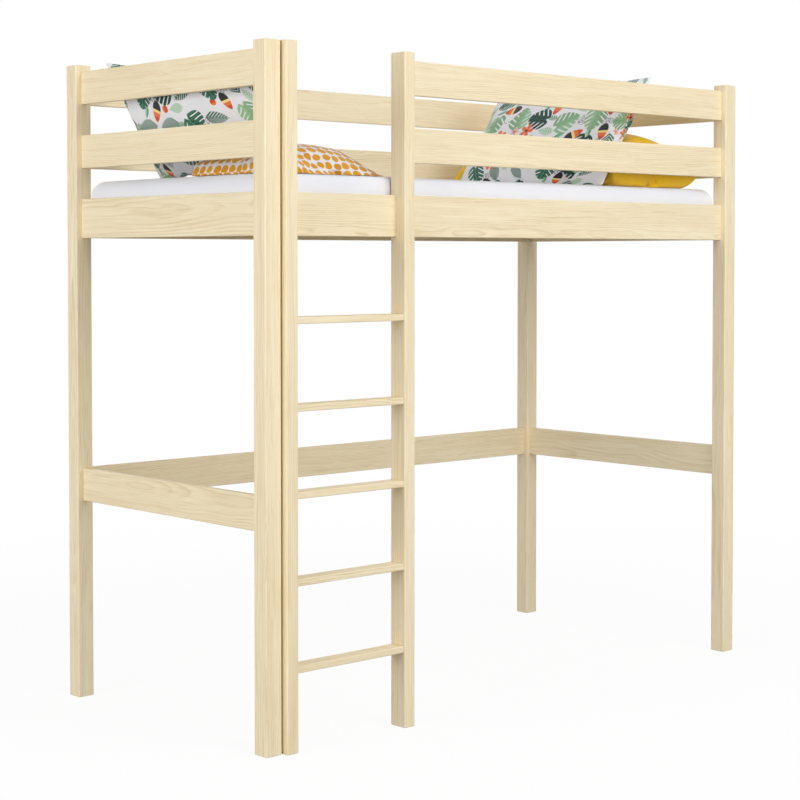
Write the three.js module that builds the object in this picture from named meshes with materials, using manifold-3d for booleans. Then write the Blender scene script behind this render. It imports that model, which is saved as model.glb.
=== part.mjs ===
// High sleeper (loft bed) in solid pine with a straight fixed ladder, a slatted base, a mattress and four
// pillows. Millimetres, +Z up. The origin is on the floor, in the middle of the bed's footprint. The
// ladder is at the front (-Y), at the left end (-X).

import * as THREE from 'three';
import { mergeVertices } from 'three/addons/utils/BufferGeometryUtils.js';
import Module from 'manifold-3d';

const wasm = await Module();
wasm.setup();

// ---- Driving dimensions -------------------------------------------------------------------------------

const LENGTH = 2084;           // over the posts, along X
const WIDTH = 1004;            // over the posts, along Y
const HEIGHT = 1980;           // posts and ladder stiles
const GAP = 0.3;               // left between pieces that touch
const PAST = 1;                // how far a cutter runs past the face that it opens

const POST = 55;               // square corner post
const POST_ROUND = 4;
const INSET = 20;              // outer face of every board, behind the posts' outer faces
const HOUSING = 12;            // how far a board's end is let into a post
const EDGE_ROUND = 2.5;        // eased edges of the boards

const RAIL_THICK = 20;         // bed rails that carry the base
const RAIL_BOTTOM = 1442;
const RAIL_TALL = 122;
const BOARD_THICK = 18;        // guard boards and stretchers
const BOARD_TALL = 102;
const LOWER_GUARD = 1660;      // bottom edges
const UPPER_GUARD = 1858;
const STRETCHER = 619;

const STILE_WIDE = 41;         // ladder stiles
const STILE_DEEP = 62;
const STILE_PROUD = 18;        // front of the stiles, ahead of the posts
const STILE_SPACE = 5;         // left stile to the corner post
const LADDER_CLEAR = 400;      // between the stiles
const RUNG_COUNT = 5;
const RUNG_FIRST = 242;        // top of the lowest rung
const RUNG_PITCH = 243.8;
const RUNG_THICK = 20;
const RUNG_DEEP = 52;
const RUNG_SETBACK = 5;        // behind the stiles' front faces

const LEDGER_WIDE = 25;        // battens that carry the slats
const LEDGER_TALL = 30;
const LEDGER_CLEAR = 1;        // to the posts
const SLAT_COUNT = 14;
const SLAT_WIDE = 70;
const SLAT_THICK = 18;

const MATTRESS_LONG = 1998;
const MATTRESS_WIDE = 904;
const MATTRESS_TOP = 1620;
const MATTRESS_CORNER = 36;    // seen from above
const MATTRESS_ROLL = 16;      // rounding of its top and bottom edges

// Pillows: places along the bed are from its left end for the two on the left, and from its right end for
// the two on the right. Places across it are from the posts' front faces.
const PILLOW_CLEAR = 2;        // above the mattress, and between the two left pillows
const PILLOW_SEAM = 4;         // half the thickness of a leaning pillow's edge
const LEAF_LONG = 700;
const LEFT_LEAF = { front: 120, foot: 226, top: 55, footHeight: 22, topHeight: 350, thick: 100 };
const RIGHT_LEAF = { front: 92, foot: 612, top: 347, footHeight: 20, topHeight: 357, thick: 96 };
const DOTS = { left: 96, front: 84, long: 426, wide: 366, tall: 94 };
const MUSTARD = { right: 137, front: 80, long: 413, wide: 772, tall: 186 };

const BOLT_RADIUS = 3;         // M6
const BOLT_HOLE = 3.3;
const BOLT_STAGGER = 20;       // side rail bolts above the rail's middle, end rail bolts below it
const BOLT_START = 22;         // behind the post's outer face
const POCKET_START = 40;       // nut pocket in the rail's inner face, from the post
const POCKET_LONG = 22;
const POCKET_TALL = 20;
const POCKET_DEEP = 16.5;
const BOLT_SHORT = 4;          // the threaded rod stops this far before the pocket's end
const NUT_RADIUS = 5.7;        // across corners
const NUT_THICK = 5;
const LADDER_BOLTS = [1500, 1546];
const LADDER_BOLT_DEEP = 24;   // into the stile
const HEAD_RADIUS = 7;
const HEAD_THICK = 3.5;

// ---- Derived positions --------------------------------------------------------------------------------

const LEFT = -LENGTH / 2;
const RIGHT = LENGTH / 2;
const FRONT = (STILE_PROUD - WIDTH) / 2;
const BACK = FRONT + WIDTH;
const REACH = POST - HOUSING + GAP;              // where a housed board ends, from the post's outer face
const RAIL_MIDDLE = RAIL_BOTTOM + RAIL_TALL / 2;
const STILE_FRONT = FRONT - STILE_PROUD;
const STILE_BACK = STILE_FRONT + STILE_DEEP;
const LEFT_STILE = LEFT + POST + STILE_SPACE;
const RIGHT_STILE = LEFT_STILE + STILE_WIDE + LADDER_CLEAR;
const SLAT_BOTTOM = RAIL_BOTTOM + LEDGER_TALL + GAP;
const MATTRESS_BOTTOM = SLAT_BOTTOM + SLAT_THICK + GAP;
const PILLOW_FLOOR = MATTRESS_TOP + PILLOW_CLEAR;
const MIDDLE_Y = (FRONT + BACK) / 2;

// ---- Materials ----------------------------------------------------------------------------------------

function finish(color, roughness, metalness = 0) {
  return new THREE.MeshStandardMaterial({ color, roughness, metalness });
}

const pine = finish('#eadfc0', 0.55);
const slatPine = finish('#e0cf9f', 0.65);
const mattressCover = finish('#eceef4', 0.9);
const leafPrint = finish('#e4e8de', 0.85);
const dotPrint = finish('#e3c489', 0.85);
const mustard = finish('#dba42b', 0.85);
const zincSteel = finish('#b9bcc0', 0.35, 1);

// ---- Shapes -------------------------------------------------------------------------------------------

// A span is a box [[x0, x1], [y0, y1], [z0, z1]] in the bed's frame.
const centreOf = (span) => span.map(([low, high]) => (low + high) / 2);
const sizeOf = (span) => span.map(([low, high]) => high - low);
const grow = (span, by) => span.map(([low, high]) => [low - by, high + by]);
const meet = (a, b) => a.every(([low, high], i) => low < b[i][1] && b[i][0] < high);
const mirrorX = ([x, y, z]) => [[-x[1], -x[0]], y, z];

function roundedRectangle(width, height, radius) {
  const x = width / 2 - radius;
  const y = height / 2 - radius;
  const shape = new THREE.Shape();
  shape.absarc(x, y, radius, 0, Math.PI / 2);
  shape.absarc(-x, y, radius, Math.PI / 2, Math.PI);
  shape.absarc(-x, -y, radius, Math.PI, Math.PI * 1.5);
  shape.absarc(x, -y, radius, Math.PI * 1.5, Math.PI * 2);
  return shape;
}

// A bar along Z with eased long edges and ends, centred on the origin.
function bar(width, depth, length, radius) {
  const ease = radius / 2;
  const geometry = new THREE.ExtrudeGeometry(roundedRectangle(width, depth, radius), {
    depth: length - 2 * ease,
    bevelThickness: ease,
    bevelSize: ease,
    bevelOffset: -ease,
    bevelSegments: 1,
    curveSegments: 2,
  });
  return geometry.translate(0, 0, ease - length / 2);
}

// The same bar filling a span, running along 'x', 'y' or 'z'.
function beam(along, span, radius = EDGE_ROUND) {
  const [x, y, z] = sizeOf(span);
  if (along === 'x') return bar(z, y, x, radius).rotateY(Math.PI / 2);
  if (along === 'y') return bar(x, z, y, radius).rotateX(-Math.PI / 2);
  return bar(x, y, z, radius);
}

function block(span) {
  return new THREE.BoxGeometry(...sizeOf(span)).translate(...centreOf(span));
}

// A cylinder along 'x' or 'y' from one end to the other, at the two other coordinates.
function rod(along, from, to, across, z, radius, sides = 12) {
  const geometry = new THREE.CylinderGeometry(radius, radius, to - from, sides);
  const middle = (from + to) / 2;
  if (along === 'x') return geometry.rotateZ(Math.PI / 2).translate(middle, across, z);
  return geometry.translate(across, middle, z);
}

function toSolid(geometry) {
  const bare = geometry.clone();
  bare.deleteAttribute('normal');
  bare.deleteAttribute('uv');
  const merged = mergeVertices(bare, 1e-3);
  const mesh = new wasm.Mesh({
    numProp: 3,
    vertProperties: new Float32Array(merged.attributes.position.array),
    triVerts: new Uint32Array(merged.index.array),
  });
  return new wasm.Manifold(mesh);
}

function toGeometry(solid) {
  const mesh = solid.getMesh();
  const geometry = new THREE.BufferGeometry();
  geometry.setAttribute('position', new THREE.BufferAttribute(mesh.vertProperties, 3));
  geometry.setIndex(new THREE.BufferAttribute(mesh.triVerts, 1));
  geometry.computeVertexNormals();
  return geometry;
}

function join(geometries) {
  return toGeometry(geometries.map(toSolid).reduce((whole, piece) => whole.add(piece)));
}

const bed = new THREE.Group();

// Adds a mesh whose geometry is centred on its own middle.
function place(name, geometry, centre, material) {
  const mesh = new THREE.Mesh(geometry, material.clone());
  mesh.name = name;
  mesh.position.set(...centre);
  bed.add(mesh);
}

// A timber filling a span, less the cutters, which are given in the bed's frame.
function timber(name, along, span, cutters = [], material = pine, radius = EDGE_ROUND) {
  const centre = centreOf(span);
  const local = cutters.map((cutter) => toSolid(cutter.translate(...centre.map((value) => -value))));
  const whole = beam(along, span, radius);
  const geometry = local.length
    ? toGeometry(local.reduce((solid, cutter) => solid.subtract(cutter), toSolid(whole)))
    : whole;
  place(name, geometry, centre, material);
}

// ---- Boards between the posts -------------------------------------------------------------------------

const upFrom = (bottom, tall) => [bottom, bottom + tall];
const fullX = [LEFT + REACH, RIGHT - REACH];
const fullY = [FRONT + REACH, BACK - REACH];
const frontY = (thick) => [FRONT + INSET, FRONT + INSET + thick];
const backY = (thick) => [BACK - INSET - thick, BACK - INSET];
const leftX = (thick) => [LEFT + INSET, LEFT + INSET + thick];

const guardX = [RIGHT_STILE + STILE_WIDE - HOUSING + GAP, RIGHT - REACH];
const boards = [];
const addBoard = (name, along, span) => boards.push({ name, along, span });

for (const [level, bottom] of [['lower', LOWER_GUARD], ['upper', UPPER_GUARD]]) {
  const z = upFrom(bottom, BOARD_TALL);
  const left = [leftX(BOARD_THICK), fullY, z];
  addBoard(`guard_front_${level}`, 'x', [guardX, frontY(BOARD_THICK), z]);
  addBoard(`guard_back_${level}`, 'x', [fullX, backY(BOARD_THICK), z]);
  addBoard(`guard_left_${level}`, 'y', left);
  addBoard(`guard_right_${level}`, 'y', mirrorX(left));
}

const stretcherLeft = [leftX(BOARD_THICK), fullY, upFrom(STRETCHER, BOARD_TALL)];
addBoard('stretcher_back', 'x', [fullX, backY(BOARD_THICK), upFrom(STRETCHER, BOARD_TALL)]);
addBoard('stretcher_left', 'y', stretcherLeft);
addBoard('stretcher_right', 'y', mirrorX(stretcherLeft));

const railZ = upFrom(RAIL_BOTTOM, RAIL_TALL);
const endRailLeft = [leftX(RAIL_THICK), fullY, railZ];
const rails = [
  { name: 'side_rail_front', along: 'x', span: [fullX, frontY(RAIL_THICK), railZ], inward: 1 },
  { name: 'side_rail_back', along: 'x', span: [fullX, backY(RAIL_THICK), railZ], inward: -1 },
  { name: 'end_rail_left', along: 'y', span: endRailLeft, inward: 1 },
  { name: 'end_rail_right', along: 'y', span: mirrorX(endRailLeft), inward: -1 },
];

// ---- Rail bolts: a threaded rod in the post, drawn tight by a nut in a pocket of the rail -------------

const railBolts = [];
for (const { name, along, span } of rails) {
  const alongX = along === 'x';
  const across = alongX ? centreOf(span)[1] : centreOf(span)[0];
  const z = RAIL_MIDDLE + (alongX ? BOLT_STAGGER : -BOLT_STAGGER);
  const ends = alongX
    ? [[LEFT, 1, 'left'], [RIGHT, -1, 'right']]
    : [[FRONT, 1, 'front'], [BACK, -1, 'back']];
  for (const [outer, way, end] of ends) {
    railBolts.push({ rail: name, name: `bolt_${name}_${end}`, along, across, z, outer, way });
  }
}

function between(outer, way, near, far) {
  const ends = [outer + way * near, outer + way * far];
  return ends[0] < ends[1] ? ends : [ends[1], ends[0]];
}

function boltRun({ outer, way }, clearance = 0) {
  return between(outer, way, BOLT_START - clearance, POST + POCKET_START + POCKET_LONG - BOLT_SHORT);
}

function boltHole(bolt) {
  const [from, to] = boltRun(bolt, PAST);
  return rod(bolt.along, from, to, bolt.across, bolt.z, BOLT_HOLE);
}

function nutPocket(bolt, inward, innerFace) {
  const run = between(bolt.outer, bolt.way, POST + POCKET_START, POST + POCKET_START + POCKET_LONG);
  const depth = [innerFace - inward * POCKET_DEEP, innerFace + inward * PAST].sort((a, b) => a - b);
  const z = [bolt.z - POCKET_TALL / 2, bolt.z + POCKET_TALL / 2];
  return block(bolt.along === 'x' ? [run, depth, z] : [depth, run, z]);
}

function addRailBolt(bolt) {
  const [from, to] = boltRun(bolt);
  const nutStart = POST + POCKET_START + GAP;
  const nut = between(bolt.outer, bolt.way, nutStart, nutStart + NUT_THICK);
  const middle = (from + to) / 2;
  const geometry = join([
    rod(bolt.along, from, to, bolt.across, bolt.z, BOLT_RADIUS),
    rod(bolt.along, ...nut, bolt.across, bolt.z, NUT_RADIUS, 6),
  ]);
  const centre = bolt.along === 'x' ? [middle, bolt.across, bolt.z] : [bolt.across, middle, bolt.z];
  place(bolt.name, geometry.translate(...centre.map((value) => -value)), centre, zincSteel);
}

// ---- Ladder bolts: through the front rail into each stile, heads on the rail's inner face -------------

const railInner = FRONT + INSET + RAIL_THICK;
const stileMiddles = { left: LEFT_STILE + STILE_WIDE / 2, right: RIGHT_STILE + STILE_WIDE / 2 };
const BOLT_TIP = FRONT + INSET - LADDER_BOLT_DEEP;
const ladderHole = (x, z) => rod('y', BOLT_TIP - PAST, railInner + PAST, x, z, BOLT_HOLE);
const ladderHoles = (x) => LADDER_BOLTS.map((z) => ladderHole(x, z));

function addLadderBolt(side, level, z) {
  const geometry = join([
    rod('y', BOLT_TIP, railInner + GAP + HEAD_THICK / 2, 0, 0, BOLT_RADIUS),
    rod('y', railInner + GAP, railInner + GAP + HEAD_THICK, 0, 0, HEAD_RADIUS, 16),
  ]);
  place(`bolt_ladder_${side}_${level}`, geometry, [stileMiddles[side], 0, z], zincSteel);
}

// ---- Assembly -----------------------------------------------------------------------------------------

// Square recesses in an upright for the ends of the boards that run into it.
function housings(span, boardsHere) {
  const entering = boardsHere.filter((board) => meet(board.span, span));
  return entering.map((board) => block(grow(board.span, GAP)));
}

function addPosts() {
  const ends = { left: [LEFT, LEFT + POST], right: [RIGHT - POST, RIGHT] };
  const sides = { front: [FRONT, FRONT + POST], back: [BACK - POST, BACK] };
  for (const [side, y] of Object.entries(sides)) {
    for (const [end, x] of Object.entries(ends)) {
      const span = [x, y, [0, HEIGHT]];
      const bores = railBolts.map(boltHole).filter((bore) => {
        bore.computeBoundingBox();
        const { min, max } = bore.boundingBox;
        return meet([[min.x, max.x], [min.y, max.y], [min.z, max.z]], span);
      });
      const recesses = housings(span, [...boards, ...rails]);
      timber(`post_${side}_${end}`, 'z', span, [...recesses, ...bores], pine, POST_ROUND);
    }
  }
}

function addRails() {
  for (const { name, along, span, inward } of rails) {
    const [low, high] = along === 'x' ? span[1] : span[0];
    const innerFace = inward > 0 ? high : low;
    const bolts = railBolts.filter((bolt) => bolt.rail === name);
    const cutters = bolts.flatMap((bolt) => [boltHole(bolt), nutPocket(bolt, inward, innerFace)]);
    if (name === 'side_rail_front') cutters.push(...Object.values(stileMiddles).flatMap(ladderHoles));
    timber(name, along, span, cutters);
  }
  railBolts.forEach(addRailBolt);
}

function rungSpan(index) {
  const top = RUNG_FIRST + index * RUNG_PITCH;
  const letIn = HOUSING - GAP;
  return [
    [LEFT_STILE + STILE_WIDE - letIn, RIGHT_STILE + letIn],
    [STILE_FRONT + RUNG_SETBACK, STILE_FRONT + RUNG_SETBACK + RUNG_DEEP],
    [top - RUNG_THICK, top],
  ];
}

function addLadder() {
  const rungs = Array.from({ length: RUNG_COUNT }, (_, index) => rungSpan(index));
  const rungEnds = rungs.map((rung) => ({ span: rung }));
  const notchY = [FRONT + INSET - GAP, STILE_BACK + PAST];
  const notchZ = [RAIL_BOTTOM - GAP, RAIL_BOTTOM + RAIL_TALL + GAP];
  for (const [side, x] of [['left', LEFT_STILE], ['right', RIGHT_STILE]]) {
    const span = [[x, x + STILE_WIDE], [STILE_FRONT, STILE_BACK], [0, HEIGHT]];
    const notch = block([[x - PAST, x + STILE_WIDE + PAST], notchY, notchZ]);
    const recesses = housings(span, [...boards, ...rungEnds]);
    const cutters = [notch, ...recesses, ...ladderHoles(stileMiddles[side])];
    timber(`ladder_stile_${side}`, 'z', span, cutters, pine, POST_ROUND);
    LADDER_BOLTS.forEach((z, index) => addLadderBolt(side, ['lower', 'upper'][index], z));
  }
  rungs.forEach((rung, index) => timber(`rung_${index + 1}`, 'x', rung));
}

function addBase() {
  const ledgerX = [LEFT + POST + LEDGER_CLEAR, RIGHT - POST - LEDGER_CLEAR];
  const ledgerZ = upFrom(RAIL_BOTTOM, LEDGER_TALL);
  const backInner = BACK - INSET - RAIL_THICK;
  const first = railInner + GAP;
  const last = backInner - GAP;
  timber('ledger_front', 'x', [ledgerX, [first, first + LEDGER_WIDE], ledgerZ], [], slatPine);
  timber('ledger_back', 'x', [ledgerX, [last - LEDGER_WIDE, last], ledgerZ], [], slatPine);
  const clear = LENGTH - 2 * (INSET + RAIL_THICK);
  const pitch = clear / SLAT_COUNT;
  for (let index = 0; index < SLAT_COUNT; index += 1) {
    const middle = (index + 0.5) * pitch - clear / 2;
    const span = [
      [middle - SLAT_WIDE / 2, middle + SLAT_WIDE / 2],
      [first, last],
      upFrom(SLAT_BOTTOM, SLAT_THICK),
    ];
    timber(`slat_${String(index + 1).padStart(2, '0')}`, 'y', span, [], slatPine);
  }
}

// ---- Bedding: plain solids of the right size and place ------------------------------------------------

function addMattress() {
  const thick = MATTRESS_TOP - MATTRESS_BOTTOM;
  const outline = roundedRectangle(MATTRESS_LONG, MATTRESS_WIDE, MATTRESS_CORNER);
  const geometry = new THREE.ExtrudeGeometry(outline, {
    depth: thick - 2 * MATTRESS_ROLL,
    bevelThickness: MATTRESS_ROLL,
    bevelSize: MATTRESS_ROLL,
    bevelOffset: -MATTRESS_ROLL,
    bevelSegments: 3,
    curveSegments: 5,
  });
  geometry.translate(0, 0, MATTRESS_ROLL - thick / 2);
  place('mattress', geometry, [0, MIDDLE_Y, (MATTRESS_TOP + MATTRESS_BOTTOM) / 2], mattressCover);
}

const LENS_STEPS = 8;

// Points of a lens-shaped section around the line between two seams.
function lensSection([x0, z0], [x1, z1], thick) {
  const length = Math.hypot(x1 - x0, z1 - z0);
  const side = new THREE.Vector2(z1 - z0, x0 - x1).divideScalar(length);
  const points = [];
  for (let step = 0; step <= 2 * LENS_STEPS; step += 1) {
    const going = step <= LENS_STEPS;
    const there = going ? step / LENS_STEPS : 2 - step / LENS_STEPS;
    const half = Math.max((thick / 2) * Math.sin(Math.PI * there) ** 0.6, PILLOW_SEAM);
    const middle = new THREE.Vector2(x0 + (x1 - x0) * there, z0 + (z1 - z0) * there);
    points.push(middle.addScaledVector(side, going ? half : -half));
  }
  points.push(new THREE.Vector2(x0, z0).addScaledVector(side, -PILLOW_SEAM));
  return points;
}

// A section in X and Z, run along Y.
function cushion(points, y0, y1) {
  const shape = new THREE.Shape(points);
  const geometry = new THREE.ExtrudeGeometry(shape, { depth: y1 - y0, bevelEnabled: false });
  return geometry.rotateX(Math.PI / 2).translate(0, y1, 0);
}

function addPillow(name, geometry, material) {
  geometry.computeBoundingBox();
  const centre = geometry.boundingBox.getCenter(new THREE.Vector3()).toArray();
  place(name, geometry.translate(...centre.map((value) => -value)), centre, material);
}

// Sections of the lying pillows, in shares of their length and height.
const DOTS_OUTLINE = [[0.03, 0], [0, 0.2], [0.02, 0.42], [0.1, 0.52], [0.24, 0.57], [0.33, 0.9], [0.45, 1],
  [0.58, 0.95], [0.74, 0.74], [0.9, 0.42], [1, 0.16], [0.96, 0]];
const MUSTARD_OUTLINE = [[0.03, 0], [0, 0.08], [0.1, 0.32], [0.26, 0.74], [0.42, 0.95], [0.6, 1],
  [0.8, 0.86], [0.94, 0.58], [1, 0.24], [0.97, 0.06], [0.9, 0]];

// The dot pillow, made larger by a clearance when it serves as a cutter. Its left part is pressed down by
// the pillow that stands on it.
function dotPillow(clearance = 0) {
  const points = DOTS_OUTLINE.map(([along, up]) => new THREE.Vector2(
    LEFT + DOTS.left - clearance + along * (DOTS.long + 2 * clearance),
    PILLOW_FLOOR - clearance + up * (DOTS.tall + 2 * clearance),
  ));
  const front = FRONT + DOTS.front;
  return cushion(points, front - clearance, front + DOTS.wide + clearance);
}

// Leans on the left end's upper guard. Its front half stands on the dot pillow.
function addLeftLeafPillow() {
  const { front, foot, top, footHeight, topHeight, thick } = LEFT_LEAF;
  const seams = [[LEFT + foot, PILLOW_FLOOR + footHeight], [LEFT + top, PILLOW_FLOOR + topHeight]];
  const whole = cushion(lensSection(...seams, thick), FRONT + front, FRONT + front + LEAF_LONG);
  const stood = toSolid(whole).subtract(toSolid(dotPillow(PILLOW_CLEAR)));
  addPillow('pillow_leaf_left', toGeometry(stood), leafPrint);
}

function addRightLeafPillow() {
  const { front, foot, top, footHeight, topHeight, thick } = RIGHT_LEAF;
  const seams = [[RIGHT - foot, PILLOW_FLOOR + footHeight], [RIGHT - top, PILLOW_FLOOR + topHeight]];
  const whole = cushion(lensSection(...seams, thick), FRONT + front, FRONT + front + LEAF_LONG);
  addPillow('pillow_leaf_right', whole, leafPrint);
}

// Lies at the right end, its left flank pressed down by the pillow that leans on it.
function addMustardPillow() {
  const left = RIGHT - MUSTARD.right - MUSTARD.long;
  const points = MUSTARD_OUTLINE.map(([along, up]) => new THREE.Vector2(
    left + along * MUSTARD.long,
    PILLOW_FLOOR + up * MUSTARD.tall,
  ));
  const front = FRONT + MUSTARD.front;
  addPillow('pillow_mustard', cushion(points, front, front + MUSTARD.wide), mustard);
}

addPosts();
addRails();
boards.forEach(({ name, along, span }) => timber(name, along, span));
addLadder();
addBase();
addMattress();
addPillow('pillow_dots', dotPillow(), dotPrint);
addLeftLeafPillow();
addMustardPillow();
addRightLeafPillow();

export default bed;
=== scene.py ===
# The looks of the loft bed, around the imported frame: pine, bedding, floor, light and camera.

import math
import random

import bpy
import numpy as np
from mathutils import Matrix, Vector
from mathutils.bvhtree import BVHTree


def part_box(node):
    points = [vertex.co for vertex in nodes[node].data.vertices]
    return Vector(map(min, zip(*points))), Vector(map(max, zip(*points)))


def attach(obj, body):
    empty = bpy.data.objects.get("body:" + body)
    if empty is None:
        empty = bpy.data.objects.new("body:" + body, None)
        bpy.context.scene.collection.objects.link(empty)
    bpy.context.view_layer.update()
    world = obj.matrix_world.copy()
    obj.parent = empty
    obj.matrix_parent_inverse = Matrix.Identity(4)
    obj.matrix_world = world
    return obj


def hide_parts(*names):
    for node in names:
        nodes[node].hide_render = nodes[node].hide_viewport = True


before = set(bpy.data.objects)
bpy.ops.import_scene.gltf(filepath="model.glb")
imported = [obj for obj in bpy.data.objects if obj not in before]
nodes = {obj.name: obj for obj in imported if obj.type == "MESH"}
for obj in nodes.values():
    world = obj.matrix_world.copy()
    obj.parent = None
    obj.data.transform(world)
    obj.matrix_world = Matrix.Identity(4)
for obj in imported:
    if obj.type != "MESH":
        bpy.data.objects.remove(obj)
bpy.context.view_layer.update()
scene = bpy.context.scene


# ---- Shader fields: arithmetic on a socket adds the Math node that does it ---------------------------------

class Field:
    """A number that varies over a surface, held as an output socket of a shader node."""

    def __init__(self, tree, socket):
        self.tree = tree
        self.socket = socket

    def math(self, operation, *others, clamp=False):
        node = self.tree.nodes.new("ShaderNodeMath")
        node.operation = operation
        node.use_clamp = clamp
        for slot, value in zip(node.inputs, (self, *others)):
            feed(self.tree, slot, value)
        return Field(self.tree, node.outputs[0])

    def __add__(self, other):
        return self.math("ADD", other)

    def __sub__(self, other):
        return self.math("SUBTRACT", other)

    def __rsub__(self, other):
        return (self * -1) + other

    def __mul__(self, other):
        return self.math("MULTIPLY", other)

    def __truediv__(self, other):
        return self.math("DIVIDE", other)

    def __pow__(self, other):
        return self.math("POWER", other)

    __radd__ = __add__
    __rmul__ = __mul__

    def absolute(self):
        return self.math("ABSOLUTE")

    def sine(self):
        return self.math("SINE")

    def fraction(self):
        return self.math("FRACT")

    def most(self, other):
        return self.math("MAXIMUM", other)

    def clamped(self):
        return self.math("ADD", 0.0, clamp=True)

    def below(self, limit, soft):
        """1 where the field is under limit, 0 above it, with an edge soft wide."""
        return ((limit - self) / soft + 0.5).clamped()

    def above(self, limit, soft):
        return ((self - limit) / soft + 0.5).clamped()


def feed(tree, slot, value):
    if isinstance(value, Field):
        tree.links.new(value.socket, slot)
    elif hasattr(value, "is_output"):
        tree.links.new(value, slot)
    else:
        slot.default_value = value


def hypotenuse(a, b):
    return (a * a + b * b).math("SQRT")


def srgb(red, green, blue):
    """A linear colour from the 0 to 255 values that a screen shows."""
    def linear(value):
        share = value / 255
        return share / 12.92 if share <= 0.04045 else ((share + 0.055) / 1.055) ** 2.4
    return (linear(red), linear(green), linear(blue), 1.0)


def new_material(name, roughness):
    material = bpy.data.materials.new(name)
    material.use_nodes = True
    shader = material.node_tree.nodes["Principled BSDF"]
    shader.inputs["Roughness"].default_value = roughness
    return material, material.node_tree, shader


def mix_colors(tree, share, first, second):
    node = tree.nodes.new("ShaderNodeMix")
    node.data_type = "RGBA"
    feed(tree, node.inputs["Factor"], share)
    feed(tree, node.inputs[6], first)
    feed(tree, node.inputs[7], second)
    return node.outputs[2]


def scaled(tree, vector, scale, location=(0, 0, 0), rotation=(0, 0, 0)):
    node = tree.nodes.new("ShaderNodeMapping")
    tree.links.new(vector, node.inputs["Vector"])
    node.inputs["Scale"].default_value = scale
    node.inputs["Location"].default_value = location
    node.inputs["Rotation"].default_value = rotation
    return node.outputs["Vector"]


def noise(tree, vector, scale, detail=2.0, roughness=0.5):
    """Noise around one half, stretched by a scale for each axis."""
    node = tree.nodes.new("ShaderNodeTexNoise")
    tree.links.new(scaled(tree, vector, scale), node.inputs["Vector"])
    node.inputs["Scale"].default_value = 1.0
    node.inputs["Detail"].default_value = detail
    node.inputs["Roughness"].default_value = roughness
    return Field(tree, node.outputs["Fac"])


def split(tree, vector):
    node = tree.nodes.new("ShaderNodeSeparateXYZ")
    tree.links.new(vector, node.inputs[0])
    return [Field(tree, output) for output in node.outputs]


def combine(tree, x, y, z):
    node = tree.nodes.new("ShaderNodeCombineXYZ")
    for slot, value in zip(node.inputs, (x, y, z)):
        feed(tree, slot, value)
    return node.outputs[0]


def bump(tree, shader, height, distance, strength):
    node = tree.nodes.new("ShaderNodeBump")
    node.inputs["Distance"].default_value = distance
    node.inputs["Strength"].default_value = strength
    feed(tree, node.inputs["Height"], height)
    tree.links.new(node.outputs["Normal"], shader.inputs["Normal"])


def coordinates(tree, output="Object"):
    return tree.nodes.new("ShaderNodeTexCoord").outputs[output]


# ---- Pine --------------------------------------------------------------------------------------------------

RING = 0.0048                # width of a year ring, metres
PITH_NEAR, PITH_FAR = 0.045, 0.13   # a board was cut between these distances from the heart of its log
LOG_STEP = 3.7               # metres along the log from one board's grain to the next one's

PINE_TONES = {
    "frame": {"pale": (250, 237, 206), "warm": (239, 221, 182), "late": (214, 189, 142)},
    "slat": {"pale": (238, 222, 184), "warm": (226, 204, 160), "late": (198, 168, 118)},
}


def pine_group(tones):
    """Grain in metres: Z runs along the grain and the origin is the heart of the log."""
    tree = bpy.data.node_groups.new("pine", "ShaderNodeTree")
    tree.interface.new_socket("Vector", in_out="INPUT", socket_type="NodeSocketVector")
    tree.interface.new_socket("Color", in_out="OUTPUT", socket_type="NodeSocketColor")
    tree.interface.new_socket("Roughness", in_out="OUTPUT", socket_type="NodeSocketFloat")
    tree.interface.new_socket("Height", in_out="OUTPUT", socket_type="NodeSocketFloat")
    here = tree.nodes.new("NodeGroupInput").outputs["Vector"]

    sway = noise(tree, here, (4.0, 4.0, 1.3), 1.0) - 0.5
    ripple = noise(tree, here, (17.0, 17.0, 4.2), 2.0) - 0.5
    x, y, z = split(tree, here)
    bent_x = x + sway * 0.05 + ripple * 0.006
    bent_y = y + ripple * 0.02
    bent = combine(tree, bent_x, bent_y, z)

    ring = (hypotenuse(bent_x, bent_y) / RING).fraction()
    late = ring.above(0.6, 0.55) * ring.below(0.94, 0.1)
    strength = noise(tree, bent, (16.0, 16.0, 1.4), 2.0)
    band = noise(tree, bent, (95.0, 95.0, 2.4), 3.0, 0.6)
    thread = noise(tree, bent, (260.0, 260.0, 4.0), 2.0, 0.6)
    fibre = noise(tree, bent, (1100.0, 1100.0, 10.0), 2.0, 0.6)
    cloud = noise(tree, here, (6.0, 6.0, 1.8), 2.0)

    tone = (band.above(0.52, 0.3) * 0.65 + cloud.above(0.5, 0.4) * 0.35).clamped()
    ground = mix_colors(tree, tone, srgb(*tones["pale"]), srgb(*tones["warm"]))
    lines = late * strength.above(0.5, 0.3)
    drawn = lines * 0.5 + thread.above(0.6, 0.16) * 0.33 + fibre.above(0.62, 0.2) * 0.12
    color = mix_colors(tree, drawn.clamped(), ground, srgb(*tones["late"]))

    result = tree.nodes.new("NodeGroupOutput")
    tree.links.new(color, result.inputs["Color"])
    feed(tree, result.inputs["Roughness"], 0.5 + fibre * 0.16 - late * 0.06)
    feed(tree, result.inputs["Height"], fibre * 0.5 + thread * 0.2 + late * 0.3)
    return tree


pine_groups = {name: pine_group(tones) for name, tones in PINE_TONES.items()}
GRAIN_TURN = {0: (0, -math.pi / 2, 0), 1: (math.pi / 2, 0, 0), 2: (0, 0, 0)}


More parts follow.
